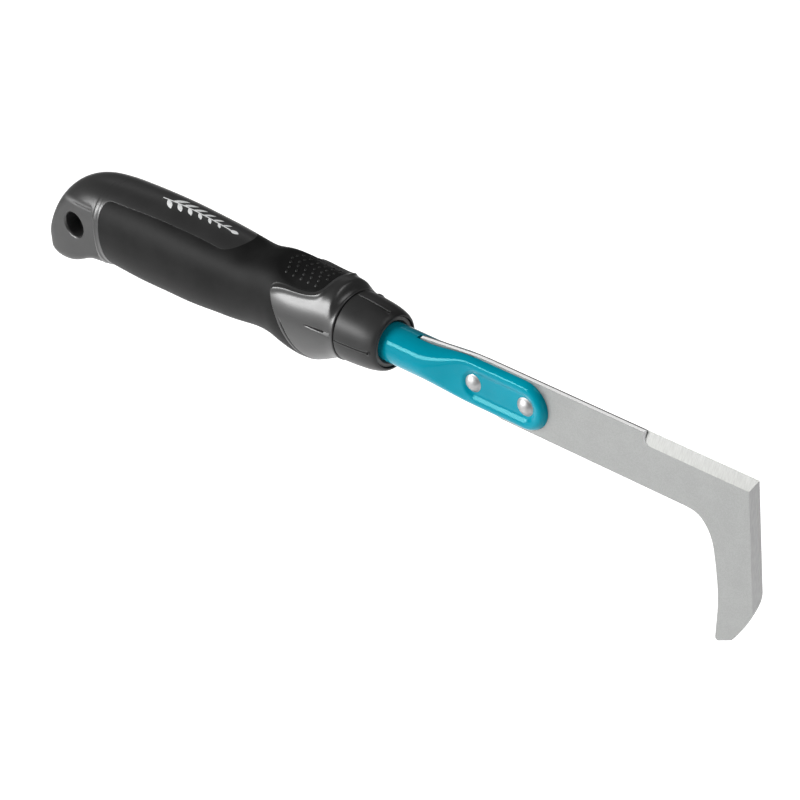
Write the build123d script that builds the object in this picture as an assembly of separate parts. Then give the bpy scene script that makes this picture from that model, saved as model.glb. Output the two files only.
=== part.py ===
from build123d import *
import os

# Crack weeder: a long-shanked hook blade in a painted tube stem, held in a two-component
# handle by a twist collar that closes a split collet. All sizes in millimetres.
#
# Everything is drawn on the tool axis: X runs along the stem towards the blade, Z is up,
# the hook points to -Z, and X = 0 is the joint line between handle and collar. The finished
# pieces are moved so that the centre of the hanging hole is the origin.

# ---- driving dimensions ----
hole_x = -155.5
hole_z = -7.0
hole_r = 5.5
hole_edge = 0.8
plate_half = 10.0

tube_r = 8.0
tube_wall = 1.5
running_gap = 0.06
turning_gap = 0.3

grip_rear_x = -131.8
grip_thickness = 2.8
tongue_half = 10.0
tongue_tip_x = -56.0

insert_r = 10.6
insert_rear_x = -80.0
key_post = 6.0
post_tip_x = -50.0
nose_len = 9.0
nose_r = 10.4

collar_len = 19.8
collar_rib = 0.45
collet_front_x = 19.0
collet_r = 10.2

stem_rear_x = -62.0
plug_flange = 2.0
plug_solid_x = -40.0
plug_pin_x = -44.0
plug_pin_r = 1.5
slot_x = 33.4

blade_t = 2.0
blade_top = 11.6
blade_bottom = -11.4
bevel_width = 5.0
bevel_start_x = 140.6
bevel_run_out = 3.0
toe_x = 189.2
toe_foot_x = 193.0
toe_foot_z = -34.5
toe_bevel = 3.2
tip_corner_r = 1.0

spoon_half = 10.5
spoon_end_x = 86.3
spoon_wall = 1.5
bead_width = 2.6
bead_height = 1.0
panel_rear_x = 64.5
rivet_x = (61.7, 87.2)
rivet_z = 0.4
rivet_shank_r = 2.0
rivet_head_r = 3.9
rivet_head_h = 1.9

# Outer surface of the handle as ellipses: X, half width, half height, centre height.
handle_stations = (
    (-152.0, 14.6, 15.6, -0.4),
    (-146.0, 15.4, 17.0, -0.7),
    (-138.0, 16.2, 18.6, -1.2),
    (-130.0, 16.7, 19.6, -1.6),
    (-112.0, 17.0, 20.2, -1.5),
    (-92.0, 16.9, 19.9, -1.45),
    (-76.0, 16.4, 19.0, -1.4),
    (-62.0, 15.5, 17.9, -1.2),
    (-51.0, 14.9, 17.0, -0.6),
    (-44.0, 15.2, 18.0, -0.2),
    (-37.0, 15.8, 18.9, -0.1),
    (-29.0, 16.5, 19.5, -1.0),
    (-21.0, 16.8, 20.3, -2.0),
    (-14.0, 16.5, 19.8, -1.4),
    (-9.0, 16.0, 18.7, -0.4),
    (-5.5, 15.2, 16.4, -0.1),
    (-3.0, 14.5, 14.7, 0.0),
    (0.0, 14.2, 14.2, 0.0),
)

# Outer profile of the collar: X, radius.
collar_profile = ((0.4, 14.2), (5.0, 13.95), (10.0, 13.5), (15.0, 12.85), (18.0, 12.2))
collar_rim_r = 11.0
collar_mouth_r = 10.6

os.makedirs("parts", exist_ok=True)


def section(x, half_w, half_h, centre_z):
    """An ellipse square to the tool axis."""
    return Plane(origin=(x, 0, centre_z), x_dir=(0, 1, 0), z_dir=(1, 0, 0)) * Ellipse(half_w, half_h)


def rod(x0, x1, radius):
    """A round bar along the tool axis from x0 to x1."""
    return Pos(x0, 0, 0) * Rot(0, 90, 0) * Cylinder(
        radius, x1 - x0, align=(Align.CENTER, Align.CENTER, Align.MIN)
    )


def bar(x0, x1, half_y, z0, z1):
    """A box along the tool axis, centred across it."""
    return Pos((x0 + x1) / 2, 0, (z0 + z1) / 2) * Box(x1 - x0, 2 * half_y, z1 - z0)


def plate(face, half_y):
    """A side-view face given thickness to both sides of the tool's mid plane."""
    return extrude(face, amount=half_y, both=True)


def turned(points):
    """A ring turned about the tool axis from a closed outline of (x, radius) points."""
    wire = Polyline(*[(x, 0, r) for x, r in points], close=True)
    return revolve(make_face(wire), axis=Axis.X)


def handle_surface(inset):
    """The lofted handle body, shrunk all round by inset."""
    return loft([section(x, w - inset, h - inset, z) for x, w, h, z in handle_stations])


# ---- handle ----
def butt():
    """The flat-sided drop end: one outline each for the side, end and top views."""
    side = make_face(
        Spline(
            (-137, 0, 17.2), (-147, 0, 15.9), (-157, 0, 11.4), (-165.5, 0, 3.6), (-171.5, 0, -7),
            (-174.4, 0, -18), (-171.4, 0, -24.6), (-164, 0, -26.6), (-156, 0, -24.6),
            (-148.5, 0, -20.6), (-137, 0, -19.8),
        )
        + Line((-137, 0, -19.8), (-137, 0, 17.2))
    )
    half = Line((-180, 0, 18), (-180, 8, 17)) + Spline(
        (-180, 8, 17), (-180, 13.6, 12.0), (-180, 15.2, 7.6), (-180, 12.6, 4.2),
        (-180, plate_half, 0.5), tangents=((0, 1, -0.35), (0, 0, -1)),
    )
    half += Line((-180, plate_half, 0.5), (-180, plate_half, -14.5))
    half += Spline(
        (-180, plate_half, -14.5), (-180, 11.0, -20.0), (-180, 12.2, -24.0), (-180, 11.0, -28.0),
        tangents=((0, 0, -1), (0, -0.6, -1)),
    )
    half += Line((-180, 11.0, -28), (-180, 0, -28)) + Line((-180, 0, -28), (-180, 0, 18))
    end_half = extrude(make_face(half), amount=45, dir=(1, 0, 0))
    end = end_half + mirror(end_half, about=Plane.XZ)
    top = make_face(
        Spline(
            (-135, 16.2, -30), (-150, 15.3, -30), (-164, 13.2, -30), (-172.6, 8.0, -30),
            (-174.6, 0, -30), (-172.6, -8.0, -30), (-164, -13.2, -30), (-150, -15.3, -30),
            (-135, -16.2, -30),
        )
        + Line((-135, -16.2, -30), (-135, 16.2, -30))
    )
    return plate(side, 17) & end & extrude(top, amount=50)


def hanging_hole():
    """The through hole for a hook or cord, with its two edges broken."""
    centre = Pos(hole_x, 0, hole_z) * Rot(90, 0, 0)
    mouth = Cone(hole_r + hole_edge, hole_r, hole_edge, align=(Align.CENTER, Align.CENTER, Align.MIN))
    near = Pos(hole_x, -plate_half, hole_z) * Rot(-90, 0, 0) * mouth
    far = Pos(hole_x, plate_half, hole_z) * Rot(90, 0, 0) * mouth
    return centre * Cylinder(hole_r, 40) + near + far


def tongue_region(clearance):
    """The top strip that runs forward over the grip to a round tip."""
    half = tongue_half + clearance
    tip = tongue_tip_x + clearance - half
    strip = Pos((tip - 180) / 2, 0, 16) * Box(tip + 180, 2 * half, 20)
    return strip + Pos(tip, 0, 16) * Cylinder(half, 20)


def saddle_region():
    """Side view of the hard front saddle: finger guard below, arch over the thumb pad in front."""
    rear = Spline(
        (-16, 0, -26), (-22, 0, -13), (-27.4, 0, -1), (-31.4, 0, 6), (-33.2, 0, 10.4), (-30, 0, 13.4)
    )
    ridge = Spline((-30, 0, 13.4), (-22, 0, 12.2), (-11.5, 0, 13.0), (-7.2, 0, 17.0), (-6.4, 0, 24))
    front = Polyline((-6.4, 0, 24), (6, 0, 24), (6, 0, -26), (-16, 0, -26))
    return plate(make_face(rear + ridge + front), 25)


def soft_grip():
    shell = handle_surface(0) - handle_surface(grip_thickness)
    shell &= bar(grip_rear_x, -4.0, 25, -30, 30)
    shell -= tongue_region(0)
    return shell - saddle_region()


def handle_core(grip):
    body = handle_surface(0) & bar(-138.0, 1.0, 25, -30, 30)
    body += butt()
    body -= grip
    body -= hanging_hole()
    body -= rod(insert_rear_x, 1.0, insert_r)
    return body - bar(insert_rear_x, -20.0, 1.5, -13.0, 13.0)


def socket_insert():
    """Sleeve that takes the stem: key post at its bottom, plain nose with a tapered seat in front."""
    body = rod(insert_rear_x, 0, insert_r) + bar(insert_rear_x, -20.0, 1.5, -13.0, 13.0)
    body += rod(0, nose_len, nose_r)
    body -= rod(insert_rear_x + 6.0, nose_len, tube_r + running_gap)
    seat = turned(((4.6, 0), (4.6, 8.5), (nose_len, 9.75), (nose_len, 0)))
    body -= seat
    return body + bar(insert_rear_x + 6.0, post_tip_x, key_post / 2, -key_post / 2, key_post / 2)


# ---- collar and collet ----
def lock_collar():
    outline = [(0.4, nose_r + turning_gap)] + list(collar_profile)
    outline += [(19.2, 11.7), (collar_len, collar_rim_r), (collar_len, collar_mouth_r)]
    outline += [(14.6, collar_mouth_r), (14.4, 9.9), (13.6, 9.9), (13.4, collar_mouth_r)]
    outline += [(nose_len + 1.0, nose_r + turning_gap)]
    body = turned(outline)
    for angle in (0, 90, 180, 270):
        rib = Pos(9.0, 0, 13.1) * Rot(0, 3.6, 0) * Box(17.0, 0.7, 1.2 + collar_rib)
        body += Rot(angle, 0, 0) * rib
    return body


def clamp_collet():
    body = turned((
        (5.4, tube_r + running_gap), (5.4, 8.5), (nose_len, 9.5), (nose_len + 0.3, collet_r),
        (13.0, collet_r), (13.2, 9.5), (14.8, 9.5), (15.0, collet_r), (collet_front_x, collet_r),
        (collet_front_x, 8.9), (collet_front_x - 1.2, tube_r + running_gap),
    ))
    for angle in (0, 90):
        body -= Rot(angle, 0, 0) * bar(5.0, 16.5, 0.6, -12, 12)
    return body


# ---- head ----
def spoon_face(half):
    """Side view of the flattened end: straight flanks and a half-round tip."""
    return make_face(
        Polyline((spoon_end_x, 0, half), (56, 0, half), (56, 0, -half), (spoon_end_x, 0, -half))
        + ThreePointArc((spoon_end_x, 0, -half), (spoon_end_x + half, 0, 0), (spoon_end_x, 0, half))
    )


def panel_face():
    """Side view of the sunk panel round the rivets, a slot shape inside the bead."""
    half = spoon_half - bead_width
    return make_face(
        Line((panel_rear_x, 0, half), (spoon_end_x, 0, half))
        + ThreePointArc((spoon_end_x, 0, half), (spoon_end_x + half, 0, 0), (spoon_end_x, 0, -half))
        + Line((spoon_end_x, 0, -half), (panel_rear_x, 0, -half))
        + ThreePointArc((panel_rear_x, 0, -half), (panel_rear_x - half, 0, 0), (panel_rear_x, 0, half))
    )


def stem_tube():
    bore_r = tube_r - tube_wall
    face_y = blade_t / 2 + spoon_wall
    outer = rod(stem_rear_x, 38.0, tube_r) + loft([
        section(38.0, tube_r, tube_r, 0), section(43.0, 7.3, 8.4, 0), section(49.0, 5.4, 9.4, 0),
        section(55.0, 3.9, 10.2, 0), section(61.0, face_y + 0.6, spoon_half, 0),
    ])
    outer += plate(spoon_face(spoon_half), face_y + bead_height)
    outer -= plate(panel_face(), 12) - plate(panel_face(), face_y)
    inner = rod(stem_rear_x, 38.0, bore_r) + loft([
        section(38.0, bore_r, bore_r, 0), section(46.0, 4.4, 7.4, 0), section(53.0, 1.9, 8.2, 0),
        section(58.0, 0.9, 8.4, 0),
    ])
    body = outer - inner
    body -= bar(slot_x, 110, blade_t / 2, 0, 20)
    body -= bar(45.0, 110, blade_t / 2, -20, 0.1)
    for x in rivet_x:
        body -= Pos(x, 0, rivet_z) * Rot(90, 0, 0) * Cylinder(rivet_shank_r, 20)
    return body - Pos(plug_pin_x, 0, 0) * Rot(90, 0, 0) * Cylinder(plug_pin_r, 30)


def stem_plug():
    """Nylon plug in the rear of the tube; its square socket slides over the key post."""
    body = rod(stem_rear_x - plug_flange, stem_rear_x, tube_r)
    body += rod(stem_rear_x, plug_solid_x, tube_r - tube_wall)
    square = key_post / 2 + turning_gap
    body -= bar(stem_rear_x - 3.0, post_tip_x + 1.0, square, -square, square)
    return body - Pos(plug_pin_x, 0, 0) * Rot(90, 0, 0) * Cylinder(plug_pin_r, 30)


def plug_pin():
    return Pos(plug_pin_x, 0, 0) * Rot(90, 0, 0) * Cylinder(plug_pin_r, 2 * (tube_r - 0.4))


def blade_outline():
    """Side view: tang, straight shank, square toe and the hook with its rounded back."""
    top = Polyline((34.2, 0, -5.2), (34.2, 0, 8.5), (62.0, 0, blade_top - 0.2), (68.0, 0, blade_top),
                   (toe_x, 0, blade_top))
    toe = Line((toe_x, 0, blade_top), (toe_foot_x, 0, toe_foot_z))
    back = Spline((toe_foot_x, 0, toe_foot_z), (191.6, 0, -41.5), (188.0, 0, -50.0), (182.2, 0, -60.2),
                  tangents=((0.02, 0, -1), (-0.62, 0, -1)))
    tip = Line((182.2, 0, -60.2), (175.0, 0, -64.0))
    throat = Spline((175.0, 0, -64.0), (175.5, 0, -47.0), (173.5, 0, -28.6), (170.4, 0, -17.8),
                    (166.2, 0, -13.0), (158.5, 0, blade_bottom),
                    tangents=((-0.02, 0, 1), (-1, 0, 0)))
    under = Polyline((158.5, 0, blade_bottom), (74.0, 0, blade_bottom), (48.0, 0, -6.2), (34.2, 0, -5.2))
    face = make_face(top + toe + back + tip + throat + under)
    return fillet(face.vertices().sort_by(Axis.Z)[:2], tip_corner_r)


def grind(x0, z0, x1, z1, width):
    """Wedge that grinds the near face down to the far edge along the line (x0, z0)-(x1, z1)."""
    along = Vector(x1 - x0, 0, z1 - z0)
    length = along.length
    side = Plane(origin=(x0, -blade_t / 2, z0), x_dir=(0, 1, 0), z_dir=along.normalized())
    wedge = side * make_face(Polyline((0, -width), (blade_t, 0), (blade_t, 4), (-4, 4), (-4, -width), close=True))
    return extrude(wedge, amount=length)


def run_out():
    """Side view of the ground top edge, with the round corner where the grinding starts."""
    low = blade_top - bevel_width - 0.01
    high = blade_top + 10.0
    corner = bevel_run_out
    middle = corner * (1.0 - 0.5 ** 0.5)
    return make_face(
        Polyline(
            (bevel_start_x + corner, 0, low), (toe_x + 12, 0, low), (toe_x + 12, 0, high),
            (bevel_start_x, 0, high), (bevel_start_x, 0, low + corner),
        )
        + ThreePointArc(
            (bevel_start_x, 0, low + corner), (bevel_start_x + middle, 0, low + middle),
            (bevel_start_x + corner, 0, low),
        )
    )


def blade():
    body = plate(blade_outline(), blade_t / 2)
    body -= grind(bevel_start_x, blade_top, toe_x + 10, blade_top, bevel_width) & plate(run_out(), blade_t)
    lean = (toe_foot_x - toe_x) / (blade_top - toe_foot_z)
    above, below = blade_top + 6.0, -62.0
    body -= grind(
        toe_x + lean * (blade_top - above), above, toe_x + lean * (blade_top - below), below, toe_bevel
    )
    for x in rivet_x:
        body -= Pos(x, 0, rivet_z) * Rot(90, 0, 0) * Cylinder(rivet_shank_r, 20)
    return body


def rivet(x):
    """Shank with a domed head on each side of the spoon."""
    face_y = blade_t / 2 + spoon_wall
    ball_r = (rivet_head_r ** 2 + rivet_head_h ** 2) / (2 * rivet_head_h)
    dome = Pos(0, 0, rivet_head_h - ball_r) * Sphere(ball_r)
    dome &= Pos(0, 0, rivet_head_h / 2) * Cylinder(rivet_head_r + 1, rivet_head_h)
    body = Cylinder(rivet_shank_r, 2 * face_y)
    body += Pos(0, 0, face_y) * dome
    body += Rot(180, 0, 0) * Pos(0, 0, face_y) * dome
    return Pos(x, 0, rivet_z) * Rot(90, 0, 0) * body


def save(node, shape):
    """Write one sub-part with the hanging hole's centre as the origin."""
    export_step(Pos(-hole_x, 0, -hole_z) * shape, os.path.join("parts", node + ".step"))


grip_solid = soft_grip()
save("soft_grip", grip_solid)
save("handle_core", handle_core(grip_solid))
save("socket_insert", socket_insert())
save("lock_collar", lock_collar())
save("clamp_collet", clamp_collet())
save("stem_tube", stem_tube())
save("stem_plug", stem_plug())
save("plug_pin", plug_pin())
save("blade", blade())
save("rivet_rear", rivet(rivet_x[0]))
save("rivet_front", rivet(rivet_x[1]))
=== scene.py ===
import math
import bmesh
import bpy
import numpy as np
from mathutils import Matrix, Vector


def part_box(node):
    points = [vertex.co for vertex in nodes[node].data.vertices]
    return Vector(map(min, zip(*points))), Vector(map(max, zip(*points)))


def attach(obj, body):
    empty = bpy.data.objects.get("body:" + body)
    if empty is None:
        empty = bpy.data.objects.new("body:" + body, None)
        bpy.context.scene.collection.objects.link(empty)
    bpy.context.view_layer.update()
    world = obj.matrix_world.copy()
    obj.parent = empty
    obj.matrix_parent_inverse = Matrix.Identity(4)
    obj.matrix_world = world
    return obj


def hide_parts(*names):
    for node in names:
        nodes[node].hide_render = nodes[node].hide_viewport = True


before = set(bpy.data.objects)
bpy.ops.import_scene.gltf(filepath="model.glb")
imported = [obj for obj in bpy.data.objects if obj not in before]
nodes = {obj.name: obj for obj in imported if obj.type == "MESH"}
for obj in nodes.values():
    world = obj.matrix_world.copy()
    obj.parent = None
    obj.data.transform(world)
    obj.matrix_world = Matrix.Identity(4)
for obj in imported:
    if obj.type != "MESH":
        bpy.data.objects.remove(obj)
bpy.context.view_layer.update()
print("frame loaded:", len(nodes), "CAD nodes")

# Shapes are drawn in millimetres on the tool axis: x = 0 at the joint between handle and
# collar, blade towards +x, hook towards -z, y = 0 on the tool's mid plane.
mm = 0.001
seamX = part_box("handle_core")[1][0] / mm
axisZ = (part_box("clamp_collet")[0][2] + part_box("clamp_collet")[1][2]) / 2 / mm


# Numbers and curves.
def smooth(t):
    t = np.clip(t, 0.0, 1.0)
    return t * t * (3 - 2 * t)


def rising(value, start, over):  # 0 up to start, then eased to 1 over the run
    return smooth((value - start) / over)


def falling(value, end, over):  # eased down over the run before end, 0 from there
    return smooth((end - value) / over)


def softMin(a, b, blend):  # the smaller of two heights, with a rounded crossing
    h = np.clip(0.5 + 0.5 * (b - a) / blend, 0, 1)
    return b * (1 - h) + a * h - blend * h * (1 - h)


def bell(distance, width):
    return np.exp(-((distance / width) ** 2))


def roundEdge(distance, radius):  # how far a rounded edge has still to rise, 0 past the radius
    t = 1 - np.clip(distance, 0, radius) / radius
    return radius * (1 - np.sqrt(1 - t * t))


def curveThrough(knots):  # natural cubic through (place, value) pairs, held level outside them
    x, y = np.array(knots, float).T
    n, h = len(x), np.diff(x)
    k = np.arange(1, n - 1)
    a, b = np.eye(n), np.zeros(n)
    a[k, k - 1], a[k, k], a[k, k + 1] = h[:-1], 2 * (h[:-1] + h[1:]), h[1:]
    b[1:-1] = 6 * (np.diff(y)[1:] / h[1:] - np.diff(y)[:-1] / h[:-1])
    bend = np.linalg.solve(a, b)

    def at(q):
        q = np.clip(np.asarray(q, float), x[0], x[-1])
        i = np.clip(np.searchsorted(x, q, side="right") - 1, 0, n - 2)
        s, t, w = x[i + 1] - q, q - x[i], h[i]
        return ((bend[i] * s ** 3 + bend[i + 1] * t ** 3) / (6 * w)
                + (y[i] / w - bend[i] * w / 6) * s + (y[i + 1] / w - bend[i + 1] * w / 6) * t)
    return at


def spaced(*stops):  # joined even steps: (start, steps), (next, steps), ..., (end, 0)
    runs = [np.linspace(a[0], b[0], a[1], endpoint=False) for a, b in zip(stops, stops[1:])]
    return np.concatenate(runs + [[stops[-1][0]]])


def distanceTo(line, px, py):  # shortest distance from each point to a polyline, in its plane
    shape = px.shape
    p = np.stack([px.ravel(), py.ravel()], -1)[:, None, :]
    a, b = line[None, :-1], line[None, 1:]
    run = b - a
    t = np.clip(((p - a) * run).sum(-1) / (run ** 2).sum(-1), 0, 1)
    return np.sqrt((((p - a) - t[..., None] * run) ** 2).sum(-1)).min(1).reshape(shape)


# Meshes.
def grid(x, y, z):
    return np.stack(np.broadcast_arrays(x, y, z), -1)


def gridFaces(rows, cols, start, closed):
    r = np.arange(rows - 1)[:, None]
    c = np.arange(cols if closed else cols - 1)[None, :]
    right = (c + 1) % cols
    return (start + np.stack([r * cols + c, r * cols + right, (r + 1) * cols + right,
                              (r + 1) * cols + c], -1)).reshape(-1, 4)


def buildMesh(name, sheets):  # sheets: (points by row and column, whether columns close up)
    points, faces, start = [], [], 0
    for sheet, closed in sheets:
        rows, cols = sheet.shape[:2]
        points.append(sheet.reshape(-1, 3))
        faces.append(gridFaces(rows, cols, start, closed))
        start += rows * cols
    points = (np.concatenate(points) + (seamX, 0, axisZ)) * mm
    mesh = bpy.data.meshes.new(name)
    mesh.from_pydata(points.tolist(), [], np.concatenate(faces).tolist())
    tidyMesh(mesh)
    return mesh


def tidyMesh(mesh):
    bm = bmesh.new()
    bm.from_mesh(mesh)
    bmesh.ops.remove_doubles(bm, verts=bm.verts, dist=2e-6)
    bmesh.ops.dissolve_degenerate(bm, edges=bm.edges, dist=1e-7)
    bmesh.ops.recalc_face_normals(bm, faces=bm.faces)
    bm.to_mesh(mesh)
    bm.free()


def showPiece(name, mesh, body, material, creaseAngle=38):
    mesh.polygons.foreach_set("use_smooth", np.ones(len(mesh.polygons), bool))
    mesh.set_sharp_from_angle(angle=math.radians(creaseAngle))
    piece = bpy.data.objects.new(name, mesh)
    bpy.context.scene.collection.objects.link(piece)
    mesh.materials.clear()
    mesh.materials.append(material)
    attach(piece, body)
    print("built", name, len(mesh.polygons), "faces")
    return piece


def cutAway(mesh, cutters):  # takes closed meshes out of a closed mesh
    work = bpy.data.objects.new("work", mesh)
    bpy.context.scene.collection.objects.link(work)
    tools = []
    for cutter in cutters:
        tool = bpy.data.objects.new("tool", cutter)
        bpy.context.scene.collection.objects.link(tool)
        tools.append(tool)
        mod = work.modifiers.new("cut", "BOOLEAN")
        mod.operation, mod.solver, mod.object = "DIFFERENCE", "EXACT", tool
    bpy.context.view_layer.update()
    graph = bpy.context.evaluated_depsgraph_get()
    cut = bpy.data.meshes.new_from_object(work.evaluated_get(graph))
    for old in [work] + tools:
        bpy.data.objects.remove(old)
    return cut


def turnedMesh(name, along, radius, centre, axis="y", steps=64):
    # A closed outline (place along the axis, radius) carried once round the axis.
    a = np.linspace(0, 2 * np.pi, steps, endpoint=False)[None, :]
    t, r = np.asarray(along, float)[:, None], np.asarray(radius, float)[:, None]
    ring = (grid(r * np.cos(a), t + 0 * a, r * np.sin(a)) if axis == "y"
            else grid(t + 0 * a, r * np.cos(a), r * np.sin(a)))
    return buildMesh(name, [(ring + centre, True)])


# Finishes.
class Wire:  # a socket that takes part in sums; each operator adds one Math node
    def __init__(self, paint, socket):
        self.paint, self.socket = paint, socket

    def sum(self, operation, a, b):
        return self.paint.node("ShaderNodeMath", {"operation": operation}, {0: a, 1: b})

    def __add__(self, other): return self.sum("ADD", self, other)
    def __radd__(self, other): return self.sum("ADD", other, self)
    def __sub__(self, other): return self.sum("SUBTRACT", self, other)
    def __rsub__(self, other): return self.sum("SUBTRACT", other, self)
    def __mul__(self, other): return self.sum("MULTIPLY", self, other)
    def __rmul__(self, other): return self.sum("MULTIPLY", other, self)
    def __truediv__(self, other): return self.sum("DIVIDE", self, other)
    def __pow__(self, other): return self.sum("POWER", self, other)


class Paint:  # one material and the few ways its nodes are made
    def __init__(self, name, **fixed):
        self.material = bpy.data.materials.new(name)
        self.material.use_nodes = True
        self.tree = self.material.node_tree
        self.shader = self.tree.nodes["Principled BSDF"]
        self.place = self.node("ShaderNodeTexCoord", out="Object")
        for socket, value in fixed.items():
            self.feed(self.shader.inputs[socket.replace("_", " ")], value)

    def node(self, kind, settings=None, sockets=None, out=0):
        made = self.tree.nodes.new(kind)
        for key, value in (settings or {}).items():
            setattr(made, key, value)
        for key, value in (sockets or {}).items():
            self.feed(made.inputs[key], value)
        return Wire(self, made.outputs[out])

    def feed(self, socket, value):
        if isinstance(value, Wire):
            self.tree.links.new(value.socket, socket)
        else:
            socket.default_value = value

    def paint(self, socket, value):
        self.feed(self.shader.inputs[socket], value)

    def noise(self, scale, detail=2.0, stretch=(1, 1, 1)):
        where = self.node("ShaderNodeMapping", {}, {"Vector": self.place, "Scale": stretch})
        return self.node("ShaderNodeTexNoise", {"noise_dimensions": "3D"},
                         {"Vector": where, "Scale": scale, "Detail": detail})

    def axes(self):  # millimetres on the tool axis, as three numbers
        split = self.tree.nodes.new("ShaderNodeSeparateXYZ")
        self.tree.links.new(self.place.socket, split.inputs[0])
        x, y, z = (Wire(self, split.outputs[i]) for i in range(3))
        return x / mm - seamX, y / mm, z / mm - axisZ

    def facing(self):  # the surface normal in object space, as three numbers
        normal = self.node("ShaderNodeTexCoord", out="Normal")
        split = self.tree.nodes.new("ShaderNodeSeparateXYZ")
        self.tree.links.new(normal.socket, split.inputs[0])
        return [Wire(self, split.outputs[i]) for i in range(3)]

    def step(self, value, low, high):  # 0 below low, 1 above high, eased between
        return self.node("ShaderNodeMapRange", {"interpolation_type": "SMOOTHSTEP"},
                         {"Value": value, "From Min": low, "From Max": high})

    def mix(self, mask, a, b):
        return self.node("ShaderNodeMix", {"data_type": "RGBA"}, {0: mask, 6: a, 7: b}, out=2)

    def relief(self, height, depth, strength=1.0):  # depth in millimetres
        bump = self.node("ShaderNodeBump", {}, {"Height": height, "Distance": depth * mm,
                                                "Strength": strength}, out="Normal")
        self.paint("Normal", bump)


def grey(value, tint=(1, 1, 1)):
    return (value * tint[0], value * tint[1], value * tint[2], 1)


def mouldedPlastic(name, look):
    # Two close greys in slow clouds, a fine spark-eroded grain and a little wandering gloss.
    p = Paint(name, Specular_IOR_Level=look["shine"])
    cloud, grain = p.noise(look["cloud"], 3), p.noise(look["grain"], 2)
    p.paint("Base Color", p.mix(p.step(cloud, 0.35, 0.65), look["dark"], look["light"]))
    p.paint("Roughness", look["rough"] + look["roughSpread"] * cloud + 0.05 * grain)
    p.relief(grain, look["grainDepth"], look["grainStrength"])
    return p.material


gripRubber = {"dark": grey(0.006), "light": grey(0.009), "cloud": 90, "grain": 2600,
              "shine": 0.1, "rough": 0.45, "roughSpread": 0.1, "grainDepth": 0.05,
              "grainStrength": 0.35}
shellPlastic = {"dark": grey(0.017), "light": grey(0.021), "cloud": 60, "grain": 4200,
                "shine": 0.66, "rough": 0.28, "roughSpread": 0.06, "grainDepth": 0.02,
                "grainStrength": 0.2}
collarPlastic = {"dark": grey(0.019), "light": grey(0.025), "cloud": 70, "grain": 4000,
                 "shine": 0.24, "rough": 0.34, "roughSpread": 0.06, "grainDepth": 0.025,
                 "grainStrength": 0.25}
colletPlastic = {"dark": grey(0.05, (1.0, 0.93, 0.88)), "light": grey(0.08, (1.0, 0.94, 0.9)),
                 "cloud": 120, "grain": 2500, "shine": 0.5, "rough": 0.4, "roughSpread": 0.1,
                 "grainDepth": 0.02, "grainStrength": 0.3}
insertPlastic = {"dark": grey(0.05), "light": grey(0.07), "cloud": 80, "grain": 2500,
                 "shine": 0.5, "rough": 0.42, "roughSpread": 0.1, "grainDepth": 0.02,
                 "grainStrength": 0.3}

rubberFinish = mouldedPlastic("grip rubber", gripRubber)
# Thumb dots: polished tops (lower roughness, more shine) and a lighter grey, 0.02 against 0.009,
# that is painted sheen for their highlights.
dotFinish = mouldedPlastic("polished rubber with painted sheen", {**gripRubber, "light": grey(0.02), "shine": 0.3,
                                               "rough": 0.36})
shellFinish = mouldedPlastic("handle plastic", shellPlastic)
collarFinish = mouldedPlastic("collar plastic", collarPlastic)
colletFinish = mouldedPlastic("collet plastic", colletPlastic)
insertFinish = mouldedPlastic("insert plastic", insertPlastic)

enamel = {"deep": (0.0, 0.195, 0.265, 1), "fresh": (0.0, 0.225, 0.305, 1), "drift": 35,
          "shine": 0.19, "tint": (0.3, 1, 1, 1), "rough": 0.06, "roughSpread": 0.05,
          "wave": 85, "waveStretch": (1, 0.6, 0.6), "waveDepth": 0.35, "peelScale": 420,
          "peel": 0.05}


def enamelFinish():
    # Baked turquoise enamel: a slow colour drift under a glossy skin that wanders a little
    # over the pressed metal, with fine orange peel.
    p = Paint("turquoise enamel", Specular_IOR_Level=enamel["shine"],
              Specular_Tint=enamel["tint"])
    drift, peel = p.noise(enamel["drift"], 2), p.noise(enamel["peelScale"], 1)
    wave = p.noise(enamel["wave"], 1, enamel["waveStretch"])
    p.paint("Base Color", p.mix(p.step(drift, 0.3, 0.7), enamel["deep"], enamel["fresh"]))
    p.paint("Roughness", enamel["rough"] + enamel["roughSpread"] * drift)
    p.relief(wave + enamel["peel"] * peel, enamel["waveDepth"])
    return p.material


bladeSteel = {"face": grey(0.325, (0.99, 1.005, 0.99)),
              "faceDark": grey(0.29, (0.99, 1.005, 0.99)),
              "ground": grey(0.23, (1.0, 1.01, 0.98)), "groundDark": grey(0.19, (1.0, 1.01, 0.98)),
              # edge is the painted highlight colour (white) of the top-facing edge and the
              # run-out; edgeLine is the painted shade colour of the line on its far side.
              "toe": grey(0.345), "toeDark": grey(0.30), "edge": grey(1.0),
              "edgeLine": grey(0.10), "speckle": 2600, "cloud": 140,
              "grindLines": (3200, 300, 260), "runOutFront": 150, "metal": 0.92,
              "rough": 0.42, "roughSpread": 0.1, "groundRough": 0.33,
              "grainDepth": 0.012, "grainStrength": 0.35}


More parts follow.
